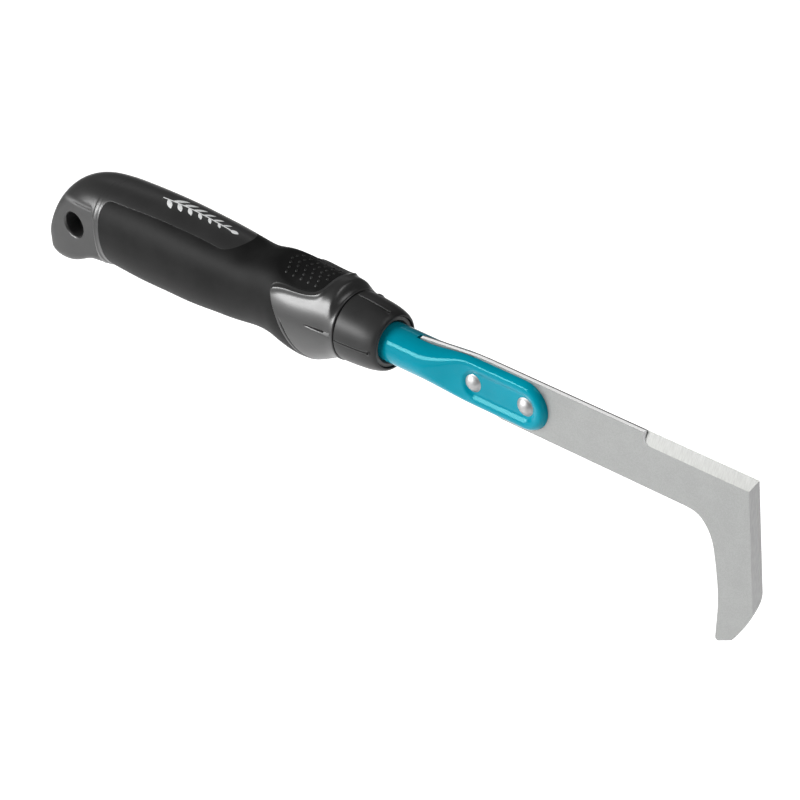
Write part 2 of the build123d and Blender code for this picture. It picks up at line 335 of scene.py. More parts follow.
def bladeFinish():
    # Bead-blasted flats with fine speckle; the ground bevels, told by how they face, are
    # smoother and crossed by grinding lines. The top-facing edge and the run-out where the top
    # bevel starts are painted white as a painted highlight, and a painted shade line runs dark
    # along the edge's far side.
    p = Paint("blade steel")
    x, y, z = p.axes()
    nx, ny, nz = p.facing()
    speckle, cloud = p.noise(bladeSteel["speckle"], 3), p.noise(bladeSteel["cloud"], 3)
    fine = p.noise(1, 2, bladeSteel["grindLines"])
    slope = p.step(nz, 0.2, 0.3) * p.step(0 - ny, 0.5, 0.6)
    toeSlope = p.step(nx, 0.3, 0.4) * p.step(0 - ny, 0.4, 0.5)
    ground = p.step(slope + toeSlope, 0.4, 0.6)
    # Painted highlight masks: faces that look up and the forward-facing run-out where the top
    # bevel starts are painted white.
    edge = p.step(nz, 0.85, 0.95)
    runOutHighlight = p.step(nx, 0.15, 0.3) * p.step(bladeSteel["runOutFront"] - x, 0, 1)
    face = p.mix(p.step(0.75 * speckle + 0.25 * cloud, 0.38, 0.62),
                 bladeSteel["faceDark"], bladeSteel["face"])
    lines = p.step(fine, 0.25, 0.75)
    bare = p.mix(lines, bladeSteel["groundDark"], bladeSteel["ground"])
    toe = p.mix(lines, bladeSteel["toeDark"], bladeSteel["toe"])
    colour = p.mix(ground, face, p.mix(p.step(toeSlope, 0.4, 0.6), bare, toe))
    # Painted shade: the up-facing edge turns from painted-highlight white to a dark painted shade
    # line past y = 0.3 mm, on its far side.
    rim = p.mix(p.step(y, 0.3, 0.5), bladeSteel["edge"], bladeSteel["edgeLine"])
    p.paint("Base Color", p.mix(runOutHighlight, p.mix(edge, colour, rim), bladeSteel["edge"]))
    # The painted highlight faces drop their metal, so their white shows as plain colour.
    p.paint("Metallic", bladeSteel["metal"] * (1 - edge) * (1 - runOutHighlight))
    p.paint("Roughness", bladeSteel["rough"] + bladeSteel["roughSpread"] * speckle
            - (bladeSteel["rough"] - bladeSteel["groundRough"]) * ground)
    p.relief((1 - ground) * speckle + ground * fine, bladeSteel["grainDepth"],
             bladeSteel["grainStrength"])
    return p.material


def brightMetal(name, dark, light, rough):
    # Plain turned or cold-headed metal: faint clouds, fine scratches round and about.
    p = Paint(name, Metallic=1.0)
    cloud, scratch = p.noise(500, 3), p.noise(1, 2, (2500, 2500, 500))
    p.paint("Base Color", p.mix(p.step(cloud, 0.3, 0.7), dark, light))
    p.paint("Roughness", rough + 0.12 * scratch)
    p.relief(scratch, 0.01, 0.25)
    return p.material


ink = {"thin": grey(0.75, (0.96, 1, 1)), "full": grey(0.88), "wear": 1800, "rough": 0.45}


def inkFinish():  # matt white pad print, a little thinner and cooler in fine specks
    p = Paint("white pad print", IOR=1.45)
    wear = p.noise(ink["wear"], 3)
    p.paint("Base Color", p.mix(p.step(wear, 0.3, 0.6), ink["thin"], ink["full"]))
    p.paint("Roughness", ink["rough"] + 0.1 * wear)
    return p.material


stemFinish = enamelFinish()
steelFinish = bladeFinish()
rivetFinish = brightMetal("rivet steel", grey(0.34), grey(0.42), 0.46)
pinFinish = brightMetal("pin steel", grey(0.45), grey(0.6), 0.3)
printFinish = inkFinish()
print("finishes made")

# Handle body.
handle = {
    "rear": -131.8, "front": -4.6, "squareness": 2.1,
    "halfWidth": ((-137.8, 16.4), (-130, 16.7), (-119.8, 16.95), (-106, 17.0), (-92, 16.9),
                  (-84, 16.7), (-75, 16.35), (-66, 15.7), (-57, 15.1), (-52, 14.9), (-45, 15.0),
                  (-41, 15.3), (-37, 15.7), (-33, 16.3), (-28, 16.6), (-21, 16.3), (-14, 15.6),
                  (-9, 15.0), (-5.5, 14.5), (-3, 14.25), (0, 14.2)),
    "top": ((-137.8, 17.3), (-128.8, 17.7), (-119.8, 18.05), (-110.9, 18.3), (-93, 18.1),
            (-84, 17.7), (-75, 17.3), (-66.2, 16.8), (-58, 16.1), (-53, 15.8), (-49, 16.2),
            (-45.4, 17.0), (-41.5, 17.9), (-37.8, 18.2), (-33.3, 17.9), (-24.9, 17.2),
            (-16.7, 17.2), (-10, 17.4), (-7.3, 17.5), (-4.8, 17.4), (-3.5, 17.0), (-2.5, 16.1),
            (-1.5, 14.9), (-0.7, 14.3), (0, 14.2)),
    "bottom": ((-137.8, 20.9), (-132, 21.2), (-124, 21.6), (-115, 22), (-97, 21.8), (-88, 21.8),
               (-79.4, 21.3), (-71, 20.6), (-62.6, 20.1), (-54.5, 19.0), (-46.5, 17.9),
               (-38, 18.2), (-28.2, 20.8), (-21.5, 21.7), (-16, 20.4), (-12, 18.5), (-8, 16.4),
               (-5, 14.9), (-2.4, 14.3), (0, 14.2)),
}
halfWidth, topLine, bottomLine = (curveThrough(handle[k]) for k in ("halfWidth", "top", "bottom"))


def power(value, exponent):
    return np.sign(value) * np.abs(value) ** exponent


def handleSurface(x, angle, lift=0.0):
    # Each cross-section is a superellipse of its own half width, with a taller lower half;
    # angle runs from the top towards -y, and lift moves the skin outwards along the section.
    e = 2 / handle["squareness"]
    c, s = np.cos(angle), np.sin(angle)
    w = halfWidth(x) + lift
    h = np.where(c > 0, topLine(x), bottomLine(x)) + lift
    return grid(x, -w * power(s, e), h * power(c, e))


def topHeight(x, y):  # height of the handle's skin over a point of the mid plane
    n = handle["squareness"]
    return topLine(x) * (1 - np.abs(y / halfWidth(x)) ** n) ** (1 / n)


butt = {
    "length": 42.6, "blend": 4.0, "heelSquareness": 5.0, "sagOver": 24,
    # Half width of the flat faces, and what is added above them and at their front end:
    # (added, from height or place, over).
    "faceHalf": 10.0, "faceAbove": (7.5, 3.0, 9), "faceFront": (8, -138.6, 3.6),
    "top": ((-131.8, 17.6), (-140, 16.9), (-147, 15.6), (-157, 11.2), (-165.5, 3.4),
            (-171.5, -7), (-174, -15.4), (-174.4, -20)),
    "bottom": ((-131.8, -21.2), (-140, -20.7), (-147, -20.8), (-152, -22.8), (-158, -25.4),
               (-164, -26.6), (-169.5, -26.2), (-173.4, -23.6), (-174.4, -20)),
    "halfWidth": ((-131.8, 16.6), (-146, 15.6), (-155, 14.6), (-162, 13.5), (-168, 12.4),
                  (-171.5, 11.2), (-173.5, 8.6), (-174.4, 0)),
    "ridges": ((-132.6, 0.4, 0.06), (-134.7, 0.5, 0.22)),  # place, width and height
    "ridgeOnTop": 0.12,  # what is left of a ridge's height on the top line
}


def buttPlace(knots):  # knots by place along the butt, as knots by fraction of its sweep
    return [(2 / math.pi * math.asin(min(1, (handle["rear"] - x) / butt["length"])), v)
            for x, v in knots]


def buttSurface(u, angle):
    # Superelliptic sections swept back along x = rear - length * sin(90 u), closing to a
    # point; both sides are then pressed flat to a plate round the hanging hole.
    top, low, wide = (curveThrough(buttPlace(butt[k]))(u) for k in ("top", "bottom", "halfWidth"))
    x = handle["rear"] - butt["length"] * np.sin(np.pi / 2 * u)
    ridge = sum(high * bell(x - at, width) for at, width, high in butt["ridges"])
    sag = falling(x, handle["rear"], butt["sagOver"])
    middle = sag * (top + low) / 2
    c, s = np.cos(angle), np.sin(angle)
    e = 2 / (handle["squareness"] + butt["heelSquareness"] * sag * smooth(-2 * c))
    ridge = ridge * (butt["ridgeOnTop"] + (1 - butt["ridgeOnTop"]) * falling(c, 0.95, 0.5))
    z = middle + np.where(c > 0, top - middle + ridge, middle - low + ridge) * power(c, e)
    y = (wide + ridge) * power(s, e)
    (above, height, up), (front, place, forward) = butt["faceAbove"], butt["faceFront"]
    face = butt["faceHalf"] + above * rising(z, height, up) + front * rising(x, place, forward)
    y = np.sign(y) * softMin(np.abs(y), face, butt["blend"])
    return grid(x, -y, z)


tongue = {"half": 9.4, "taper": 1.5, "corner": 4.0, "tipCentre": -67.0, "proud": 0.022,
          "riseOver": 2.0, "edge": 0.35, "thick": 2.4}
hole = {"centre": (-155.5, 0, -7.0), "steps": 72,
        # Radius by distance from the mid plane: a straight bore whose edges flare open.
        "outline": ((22, 18.0), (10.6, 6.9), (10, 6.3), (9.75, 5.95), (9.45, 5.70),
                    (9.15, 5.56), (8.8, 5.5), (0, 5.5))}


def tongueHalf(x):  # half width of the hard strip: flared into the butt, round at its tip
    c, rear = tongue["corner"], handle["rear"]
    flare = c - np.sqrt(np.clip(c * c - np.clip(rear + c - x, 0, c) ** 2, 0, None))
    tip = np.clip((x - tongue["tipCentre"]) / tongue["half"], 0, 1)
    taper = tongue["taper"] * falling(x, tongue["tipCentre"], tongue["tipCentre"] - rear)
    return tongue["half"] * np.sqrt(1 - tip * tip) + flare + taper


def holeMesh():  # the bore's outline on both sides of the mid plane, turned once round
    apart, radius = np.array(hole["outline"]).T
    along, radius = np.r_[-apart, apart[::-1]], np.r_[radius, radius[::-1]]
    along, radius = np.r_[along[0], along, along[-1]], np.r_[0, radius, 0]
    return turnedMesh("hole", along, radius, hole["centre"], steps=hole["steps"])


def shellMesh():
    # The swept butt, and a strip that runs on from its first section over the grip: height
    # = skin + proud, rounded down towards the strip's outline, half width = tongueHalf.
    # Columns lie at sines of even steps, so they close up towards the strip's edges.
    rear = handle["rear"]
    half, corner, tipX = (tongue[k] for k in ("half", "corner", "tipCentre"))
    flare = float(tongueHalf(np.array(rear)))
    reach = math.asin((flare / float(halfWidth(rear))) ** (handle["squareness"] / 2))
    m = 40
    strip = reach * np.sin(np.linspace(-np.pi / 2, np.pi / 2, 2 * m + 1))
    rest = np.linspace(reach, 2 * np.pi - reach, 140)[1:-1]
    angle = np.concatenate([strip, rest])[None, :]
    u = spaced((0, 34), (0.1, 26), (0.3, 60), (1, 0))[:, None]
    back = buttSurface(u, angle)
    ring = back[0]
    across = ring[:2 * m + 1, 1] / flare
    cornerTurn = spaced((0, 16), (1, 0)) * np.pi / 2
    tipTurn = spaced((0, 30), (1, 0))[1:] * np.pi / 2
    x = np.concatenate([rear + corner * (1 - np.cos(cornerTurn)),
                        spaced((rear + corner, 60), (tipX, 0))[1:],
                        tipX + half * np.sin(tipTurn)])[:, None]
    y = tongueHalf(x) * across[None, :]
    fromEdge = np.minimum(tongueHalf(x) - np.abs(y), tipX + half - x + 0 * y)
    beyond = np.hypot(np.clip(x - tipX, 0, None), y)
    fromEdge = np.where(x > tipX, half - beyond, fromEdge)
    rise = rising(x, rear, tongue["riseOver"])
    z = topHeight(x, y) + rise * (tongue["proud"] - roundEdge(fromEdge, tongue["edge"]))
    top = grid(x, y, z)
    top[0] = ring[:2 * m + 1]
    under = top - (0, 0, tongue["thick"])
    sides = [np.stack([top[:, k], under[:, k]], 1) for k in (0, -1)]
    tip = np.stack([top[-1], under[-1]])
    rim = np.concatenate([ring[2 * m:], ring[:1], under[0]])
    cap = np.stack([rim, np.broadcast_to(rim.mean(0), rim.shape)])
    mesh = buildMesh("handle shell", [(back, True), (top, False), (under, False),
                                      (sides[0], False), (sides[1], False), (tip, False),
                                      (cap, True)])
    return cutAway(mesh, [holeMesh()])


shell = showPiece("handle_shell", shellMesh(), "handle", shellFinish, 32)
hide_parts("handle_core")

# Soft grip.
grip = {"wall": 2.6, "rearEdge": 0.4, "pressed": 0.3, "padCentre": -22.5, "padHalf": 15.5,
        "padAngle": 37.0, "padEdge": (1.12, 0.28),  # fractions of the pad's size: end, over
        # Rows of dots: (y, first place, how many).
        "dotRows": ((4.7, -32.6, 6), (2.3, -33.4, 6), (0.0, -33.8, 6), (-2.4, -32.4, 6),
                    (-4.7, -31.0, 5), (-6.9, -30.4, 5), (6.9, -30.4, 5)),
        "dotPitch": 3.95, "dotRadius": 0.7, "dotHeight": 0.34,
        "dome": ((0, 1), (0.4, 0.86), (0.72, 0.52), (0.92, 0.2), (1.0, -0.1), (1.02, -0.9))}


def gripLift(x, angle):  # the thumb rest is pressed in a little, with a soft edge all round
    turn = np.degrees((angle + np.pi) % (2 * np.pi) - np.pi)
    away = np.hypot((x - grip["padCentre"]) / grip["padHalf"], turn / grip["padAngle"])
    return -grip["pressed"] * falling(away, *grip["padEdge"])


def gripMesh():
    # The handle's sections lifted by gripLift, with a rounded rear edge, and the same
    # sections one wall lower as the inside.
    x = spaced((handle["rear"], 8), (handle["rear"] + 0.6, 90), (-60, 80), (handle["front"], 0))
    x = x[:, None]
    angle = np.linspace(0, 2 * np.pi, 240, endpoint=False)[None, :]
    edge = roundEdge(x - handle["rear"], grip["rearEdge"])
    outer = handleSurface(x + 0 * angle, angle + 0 * x, gripLift(x, angle) - edge)
    coarse = np.concatenate([x[::4], x[-1:]])
    inner = handleSurface(coarse + 0 * angle, angle + 0 * coarse, -grip["wall"])[::-1]
    return buildMesh("soft grip", [(np.concatenate([outer, inner, outer[:1]]), True)])


def dotMesh():
    # Small domes on the thumb rest: one outline of (radius, height) fractions turned once
    # round at each place, with a skirt that goes below the skin.
    places = np.array([(start + grip["dotPitch"] * i, y)
                       for y, start, count in grip["dotRows"] for i in range(count)])
    r, h = np.array(grip["dome"]).T[:, :, None]
    a = np.linspace(0, 2 * np.pi, 12, endpoint=False)[None, :]
    sheets = []
    for px, py in places:
        dx, dy = grip["dotRadius"] * r * np.cos(a), grip["dotRadius"] * r * np.sin(a)
        x, y = px + dx, py + dy
        turn = np.arcsin(np.clip(-py / halfWidth(px), -1, 1))
        base = topHeight(x, y) + gripLift(px, turn)
        top = grid(x, y, base + grip["dotHeight"] * (h + 0 * a))
        foot = np.broadcast_to(top[-1].mean(0), top[-1].shape)[None]
        sheets.append((np.concatenate([top, foot]), True))
    return buildMesh("thumb dots", sheets)


cover = showPiece("grip_cover", gripMesh(), "handle", rubberFinish)
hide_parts("soft_grip")
dots = showPiece("thumb_dots", dotMesh(), "handle", dotFinish)

# Front guard.
guard = {
    "proud": 0.22, "edge": 0.45, "jointEdge": 0.45, "wall": 2.0, "meanRadius": 16.5,
    # Edge against the rubber from the top round the near side: place, angle in degrees.
    "edgeLine": ((-9.6, 0), (-9.6, 8), (-9.8, 17), (-10.4, 26), (-12.0, 33), (-14.4, 37.4),
                 (-17.6, 39.4), (-21.2, 40.0), (-25.2, 39.9), (-29.2, 41), (-32.3, 45.5),
                 (-33.4, 53), (-32.4, 64), (-30.1, 77), (-27.6, 92), (-24.7, 110),
                 (-22.1, 127), (-19, 145), (-16.7, 162), (-16, 180)),
    "crest": ((-32.3, 55), (-29.7, 50.8), (-26.5, 47.8), (-24, 46.7), (-19.9, 45.4),
              (-16.2, 44.2), (-12.9, 42.3), (-10.2, 38.5), (-8.9, 32), (-8.3, 22), (-8.1, 11),
              (-8.0, 0)),
    # Pairs named ...Turn or ...Rear: where a fade starts or ends, and the run it takes.
    "crestHeight": 0.75, "crestWidth": 1.15, "crestTurn": (12, 25), "crestRear": (0, 2.0),
    # Soft dents: place, angle, half length and half width.
    "hollow": (-19.0, 54.5, 11.0, 3.0), "hollowDepth": 0.12,
    "dip": (-6.2, 46.0, 2.4, 4.0), "dipDepth": 0.12,
    "arch": 0.4, "archRear": (-13, 5), "archFront": -3.6, "archFall": 1.8,
    "archTurn": (58, 22),
    "groove": 1.7, "grooveDepth": 0.4, "grooveWidth": 0.34, "grooveTurn": (84, 14),
    # Pointer mark: place, lower and upper height at its rear and at its front.
    "wedge": ((-13.6, 1.4, 2.2), (-1.2, 0.3, 2.3)), "wedgeDepth": 0.7, "wedgeTop": 0.22,
    "wedgeEnd": 0.3,
}


def asPlane(points):  # (place, degrees) pairs as millimetres on the unrolled handle
    p = np.array(points, float)
    return np.stack([p[:, 0], np.radians(p[:, 1]) * guard["meanRadius"]], -1)


def refined(points, steps):  # a smooth closely spaced line through a few points
    p = asPlane(points)
    run = np.r_[0, np.cumsum(np.hypot(*np.diff(p, axis=0).T))]
    s = np.linspace(0, run[-1], steps)
    return np.stack([curveThrough(list(zip(run, p[:, k])))(s) for k in (0, 1)], -1)


def guardLift(x, angle, edgeLine):
    # Height over the handle's skin: proud with a rounded edge, a raised crest beside the
    # thumb rest with a hollow below it, an arch that ends in a step before the joint, a
    # groove inside the rear edge and a pointer mark cut as a ramp, deepest at its top line.
    turn = np.abs((angle + np.pi) % (2 * np.pi) - np.pi)
    degrees, along = np.degrees(turn), turn * guard["meanRadius"]
    edge = distanceTo(edgeLine, x, along)
    crest = distanceTo(refined(guard["crest"], 60), x, along)
    lift = guard["proud"] - roundEdge(edge, guard["edge"])
    crestHigh = guard["crestHeight"] * (0.1 + 0.9 * rising(degrees, *guard["crestTurn"]))
    crestHigh = crestHigh * rising(edge, *guard["crestRear"])
    lift = lift + crestHigh * bell(crest, guard["crestWidth"])
    for key in ("hollow", "dip"):
        at, middle, longHalf, wideHalf = guard[key]
        lift = lift - guard[key + "Depth"] * bell(x - at, longHalf) * bell(
            along - math.radians(middle) * guard["meanRadius"], wideHalf)
    arch = rising(x, *guard["archRear"]) * falling(x, guard["archFront"] + guard["archFall"],
                                                   guard["archFall"])
    lift = lift + guard["arch"] * arch * falling(degrees, *guard["archTurn"])
    low = rising(degrees, *guard["grooveTurn"])
    lift = lift - low * guard["grooveDepth"] * bell(edge - guard["groove"], guard["grooveWidth"])
    near = np.sin(angle) > 0
    (x0, low0, high0), (x1, low1, high1) = guard["wedge"]
    t = (x - x0) / (x1 - x0)
    height = topLine(x) * np.cos(angle)
    low, high = low0 + t * (low1 - low0), high0 + t * (high1 - high0)
    ramp = np.clip((height - low) / (high - low), 0, 1)
    ramp = ramp * falling(height, high, guard["wedgeTop"])
    ends = rising(x, x0, guard["wedgeEnd"]) * falling(x, x1, guard["wedgeEnd"])
    lift = lift - guard["wedgeDepth"] * near * ramp * ends * np.clip(0.7 + t, 0, 1)
    return lift - roundEdge(-x, guard["jointEdge"])


def guardMesh():
    # A sleeve from the edge line to the joint: place = edge place * (1 - t), while the angle
    # goes from the edge line's own to even steps. The skin is lifted by guardLift outside,
    # and lies one wall lower inside.
    half = asPlane(guard["edgeLine"])
    full = 2 * math.pi * guard["meanRadius"]
    loop = np.concatenate([half, (half * (1, -1) + (0, full))[-2:0:-1]])
    n = len(loop)
    wrap = np.concatenate([loop[-3:] - (0, full), loop, loop[:4] + (0, full)])
    run = np.r_[0, np.cumsum(np.hypot(*np.diff(wrap, axis=0).T))]
    start, end = run[3], run[3 + n]
    s = np.linspace(start, end, 500, endpoint=False)
    ex, ea = (curveThrough(list(zip(run, wrap[:, k])))(s) for k in (0, 1))
    seam = (s - start) / (end - start) * full
    t = spaced((0, 14), (0.035, 34), (0.25, 70), (0.96, 10), (1, 0))[:, None]
    x = ex[None, :] * (1 - t)
    angle = (ea[None, :] * (1 - t) + seam[None, :] * t) / guard["meanRadius"]
    edgeLine = refined(guard["edgeLine"], 160)
    outer = handleSurface(x, angle, guardLift(x, angle, edgeLine))
    ti = np.linspace(1, 0, 14)[:, None]
    xi = ex[None, :] * (1 - ti)
    ai = (ea[None, :] * (1 - ti) + seam[None, :] * ti) / guard["meanRadius"]
    inner = handleSurface(xi, ai, -guard["wall"])
    return buildMesh("front guard", [(np.concatenate([outer, inner, outer[:1]]), True)])


saddle = showPiece("front_guard", guardMesh(), "handle", shellFinish, 60)

# Twist collar.
collar = {
    "profile": ((0.35, 13.9), (0.6, 14.15), (1.2, 14.25), (5, 14.1), (10, 13.75), (15, 13.1),
                (17.4, 12.5), (18.7, 12.0), (19.5, 11.4), (19.8, 10.95)),
    "mouth": ((19.75, 10.62), (19.3, 10.45), (18.2, 10.4), (9.6, 10.4), (9.4, 11.2), (0.4, 11.2)),
    "lines": (0, 90, 180, 270), "lineEnd": 16.9, "lineFade": 0.4, "lineDepth": 0.65,
    "lineHalf": 0.36, "dotPlace": 17.1, "dotRadius": 0.62, "dotFade": 0.3,
    # Raised lip round the dimple: share of the depth, how far out, half width, from place.
    "lip": (0.35, 0.22, 0.2, 16.2),
    "rearFade": (0.3, 0.8),
    "nub": (-43, 4.0, 2.2, 1.7, 0.45),  # degrees, place, half width, half length, height
}


def collarMesh():
    # A turned profile; its radius drops in straight cut lines that end in a round dimple,
    # depth = bell(distance to the line), and rises in one low nub.
    knots = np.array(collar["profile"])
    run = np.r_[0, np.cumsum(np.hypot(*np.diff(knots, axis=0).T))]
    s = spaced((0, 10), (1.2, 60), (17.0, 34), (run[-1], 0))[:, None]
    x, r = (curveThrough(list(zip(run, knots[:, k])))(s) for k in (0, 1))
    base = np.linspace(0, 360, 300, endpoint=False)
    fine = np.concatenate([np.arange(-3.2, 3.21, 0.32) + line for line in collar["lines"]]) % 360
    degrees = np.unique(np.round(np.concatenate([base, fine]), 3))[None, :]
    cut = 0
    for line in collar["lines"]:
        off = ((degrees - line + 180) % 360 - 180) * np.pi / 180 * r
        stroke = bell(off, collar["lineHalf"])
        stroke = stroke * falling(x, collar["lineEnd"], collar["lineFade"])
        away = np.hypot(off, x - collar["dotPlace"])
        dimple = falling(away, collar["dotRadius"], collar["dotFade"])
        share, out, lipHalf, lipFrom = collar["lip"]
        lip = share * bell(away - collar["dotRadius"] - out, lipHalf)
        cut = cut + collar["lineDepth"] * (np.maximum(stroke, dimple) - lip * (x > lipFrom))
    at, nubX, nubWide, nubLong, nubHigh = collar["nub"]
    off = ((degrees - at + 180) % 360 - 180) * np.pi / 180 * r
    nub = nubHigh * smooth(1.5 - 1.5 * np.hypot(off / nubWide, (x - nubX) / nubLong))
    r = r - cut * rising(x, *collar["rearFade"]) + nub
    a = np.radians(degrees)
    mouthX, mouthR = np.array(collar["mouth"]).T[:, :, None]
    x = np.concatenate([x + 0 * a, mouthX + 0 * a, x[:1] + 0 * a])
    r = np.concatenate([r, mouthR + 0 * a, r[:1]])
    return buildMesh("collar", [(grid(x, -r * np.sin(a), r * np.cos(a)), True)])


ring = showPiece("twist_collar", collarMesh(), "collar", collarFinish, 50)
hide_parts("lock_collar")

# Stem.
stem = {"rear": -62.0, "radius": 8.0, "bore": 6.5, "boreEnd": 52.0, "flattenFrom": 37.0,
        "flattenTo": 61.0, "spoonHalf": 10.5, "spoonThick": 3.9, "spoonRound": 3.0,
        "spoonZ": 0.3, "endCentre": 86.3, "panelFrom": 64.3, "panelHalf": 7.1, "panelThick": 2.6,
        "panelSlope": 2.9, "slotFrom": 32.4, "slotTo": 62, "slotHalf": 1.25,
        "boreTaperFrom": 36, "boreTip": 1.5, "gapFrom": 50, "gapTo": 110, "bladeHalf": 1.02,
        "clear": 14}  # how far the cutters reach past the middle


def flattening(x):  # 0 on the round tube, 1 on the flattened end
    return rising(x, stem["flattenFrom"], stem["flattenTo"] - stem["flattenFrom"])


def stemThickness(x, z):
    # Half thickness by height: a circle on the tube, easing into a thin plate with round
    # edges, with a long panel pressed into each side of the plate.
    f = flattening(x)
    half = stem["radius"] + f * (stem["spoonHalf"] - stem["radius"])
    deep = stem["radius"] + f * (stem["spoonThick"] - stem["radius"])
    soft = stem["radius"] + f * (stem["spoonRound"] - stem["radius"])
    middle = f * stem["spoonZ"]
    out = np.hypot(np.clip(x - stem["endCentre"], 0, None), z - middle)
    inward = np.clip((half - out) / soft, 0, 1)
    thick = deep * np.sqrt(1 - (1 - inward) ** 2)
    segment = np.hypot(np.clip(stem["panelFrom"] - x, 0, None)
                       + np.clip(x - stem["endCentre"], 0, None), z - stem["spoonZ"])
    panel = falling(segment, stem["panelHalf"], stem["panelSlope"])
    return thick * (1 - panel) + stem["panelThick"] * panel


def stemMesh():
    # Rows along the tube; across each, height = half height * cos(a) for a from 0 to 180
    # degrees, and depth = stemThickness on either side. The bore, the slot for the tang and
    # the gap for the blade are then cut out.
    endTurn = spaced((0, 36), (1, 0))[1:] * np.pi / 2
    x = np.concatenate([spaced((stem["rear"], 20), (20, 14), (34, 100), (stem["endCentre"], 0)),
                        stem["endCentre"] + stem["spoonHalf"] * np.sin(endTurn)])[:, None]
    f = flattening(x)
    half = stem["radius"] + f * (stem["spoonHalf"] - stem["radius"])
    half = np.sqrt(np.clip(half ** 2 - np.clip(x - stem["endCentre"], 0, None) ** 2, 0, None))
    a = np.linspace(0, np.pi, 110)[None, :]
    z = f * stem["spoonZ"] + half * np.cos(a)
    y = stemThickness(x + 0 * a, z)
    y[:, 0], y[:, -1] = 0, 0
    near, far = grid(x, -y, z), grid(x, y, z)[:, ::-1]
    outer = np.concatenate([near, far[:, 1:-1]], 1)
    capRow = np.broadcast_to(outer[0].mean(0), outer[0].shape)[None]
    solid = buildMesh("stem", [(np.concatenate([capRow, outer]), True)])
    rear, end, wide, clear = (stem[k] for k in ("rear", "boreEnd", "bore", "clear"))
    bore = turnedMesh("bore", [rear - 2, rear - 2, stem["boreTaperFrom"], end, end],
                      [0, wide, wide, stem["boreTip"], 0], (0, 0, 0), axis="x", steps=96)
    slot = blockMesh((stem["slotFrom"], -stem["slotHalf"], 0),
                     (stem["slotTo"], stem["slotHalf"], clear))
    gap = blockMesh((stem["gapFrom"], -stem["bladeHalf"], -clear),
                    (stem["gapTo"], stem["bladeHalf"], clear))
    return cutAway(solid, [bore, slot, gap])


def blockMesh(low, high):  # a plain box, only used as a cutter
    (x0, y0, z0), (x1, y1, z1) = low, high
    loop = np.array([(y0, z0), (y1, z0), (y1, z1), (y0, z1)], float)
    mid = loop.mean(0)
    rows = [np.c_[np.full(4, x), ring] for x, ring in
            ((x0, np.tile(mid, (4, 1))), (x0, loop), (x1, loop), (x1, np.tile(mid, (4, 1))))]
    return buildMesh("block", [(np.stack(rows), True)])


tube = showPiece("painted_stem", stemMesh(), "head", stemFinish, 40)
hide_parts("stem_tube")

# Rivets.
rivet = {"places": (("rivet_rear", 61.7), ("rivet_front", 87.2)), "z": 0.4, "radius": 3.9,
         "height": 1.9, "seat": 2.5, "sunk": 0.2, "domePower": 2.4}


def rivetMesh(name, place):
    # A head on each side, turned once round: height * (1 - (r / radius)^domePower), then a
    # small upright rim that is sunk into the plate.
    dome = np.linspace(0.12, 0.94, 14)
    r = np.r_[0, dome, 0.985, 1.0, 1.0] * rivet["radius"]
    h = np.r_[1, 1 - dome ** rivet["domePower"], 0.1, 0.04, -0.12] * rivet["height"]
    h = rivet["seat"] + np.maximum(h, -rivet["sunk"])
    along, radius = np.concatenate([-h, h[::-1]]), np.concatenate([r, r[::-1]])
    return turnedMesh(name, along, radius, (place, 0, rivet["z"]), steps=56)


for name, place in rivet["places"]:
    head = showPiece(name + "_head", rivetMesh(name, place), "head", rivetFinish, 50)
    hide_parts(name)

# Printed sprig.
sprig = {"root": -108.0, "tip": -68.0, "middle": 0.2, "bow": 0.9, "stemHalf": 0.28,
         "pairs": 6, "pairsFrom": 0.1, "pairsOver": 0.72, "stagger": 0.03, "shrink": 0.09,
         "leafLong": 7.2, "leafWide": 1.05, "spread": 36.0, "lift": 0.035, "sunk": -0.15,
         "bud": (0.97, 4.6, 1.0)}  # where on the stalk, length and half width


def sprigMesh():
    # Leaves are lens outlines: width * sin(pi t)^0.8 along their length, laid on the strip.
    def laid(x, y, depth):
        return grid(x, y, topHeight(x, y) + tongue["proud"] + depth)

    def leaf(px, py, turn, long, wide):
        t, v = np.linspace(0, 1, 15)[:, None], np.linspace(-1, 1, 7)[None, :]
        along, side = long * t, wide * v * np.sin(np.pi * t) ** 0.8
        x = px + along * np.cos(turn) - side * np.sin(turn)
        y = py + along * np.sin(turn) + side * np.cos(turn)
        return closedPatch(x, y)

    def closedPatch(x, y):
        top, under = laid(x, y, sprig["lift"]), laid(x, y, sprig["sunk"])
        return [(np.concatenate([top, under[:, ::-1]], 1), True),
                (np.stack([top[0], under[0]]), False), (np.stack([top[-1], under[-1]]), False)]

    def line(t):
        return (sprig["root"] + t * (sprig["tip"] - sprig["root"]),
                sprig["middle"] + sprig["bow"] * np.sin(np.pi * t))

    t, v = np.linspace(0, 1, 50)[:, None], np.linspace(-1, 1, 3)[None, :]
    x, y = line(t)
    sheets = closedPatch(x + 0 * v, y + sprig["stemHalf"] * v)
    for i in range(sprig["pairs"]):
        at = sprig["pairsFrom"] + sprig["pairsOver"] * i / (sprig["pairs"] - 1)
        size = 1 - sprig["shrink"] * i
        for side in (-1, 1):
            px, py = line(at + sprig["stagger"] * side)
            sheets += leaf(px, py, side * math.radians(sprig["spread"]),
                           sprig["leafLong"] * size, sprig["leafWide"] * size)
    at, long, wide = sprig["bud"]
    sheets += leaf(*line(at), 0, long, wide)
    return buildMesh("sprig", sheets)


mark = showPiece("sprig_print", sprigMesh(), "handle", printFinish)

# Pieces kept from the CAD model.
kept = {"blade": steelFinish, "clamp_collet": colletFinish, "socket_insert": insertFinish,
        "stem_plug": insertFinish, "plug_pin": pinFinish}
for name, finish in kept.items():
    nodes[name].data.materials.clear()
    nodes[name].data.materials.append(finish)

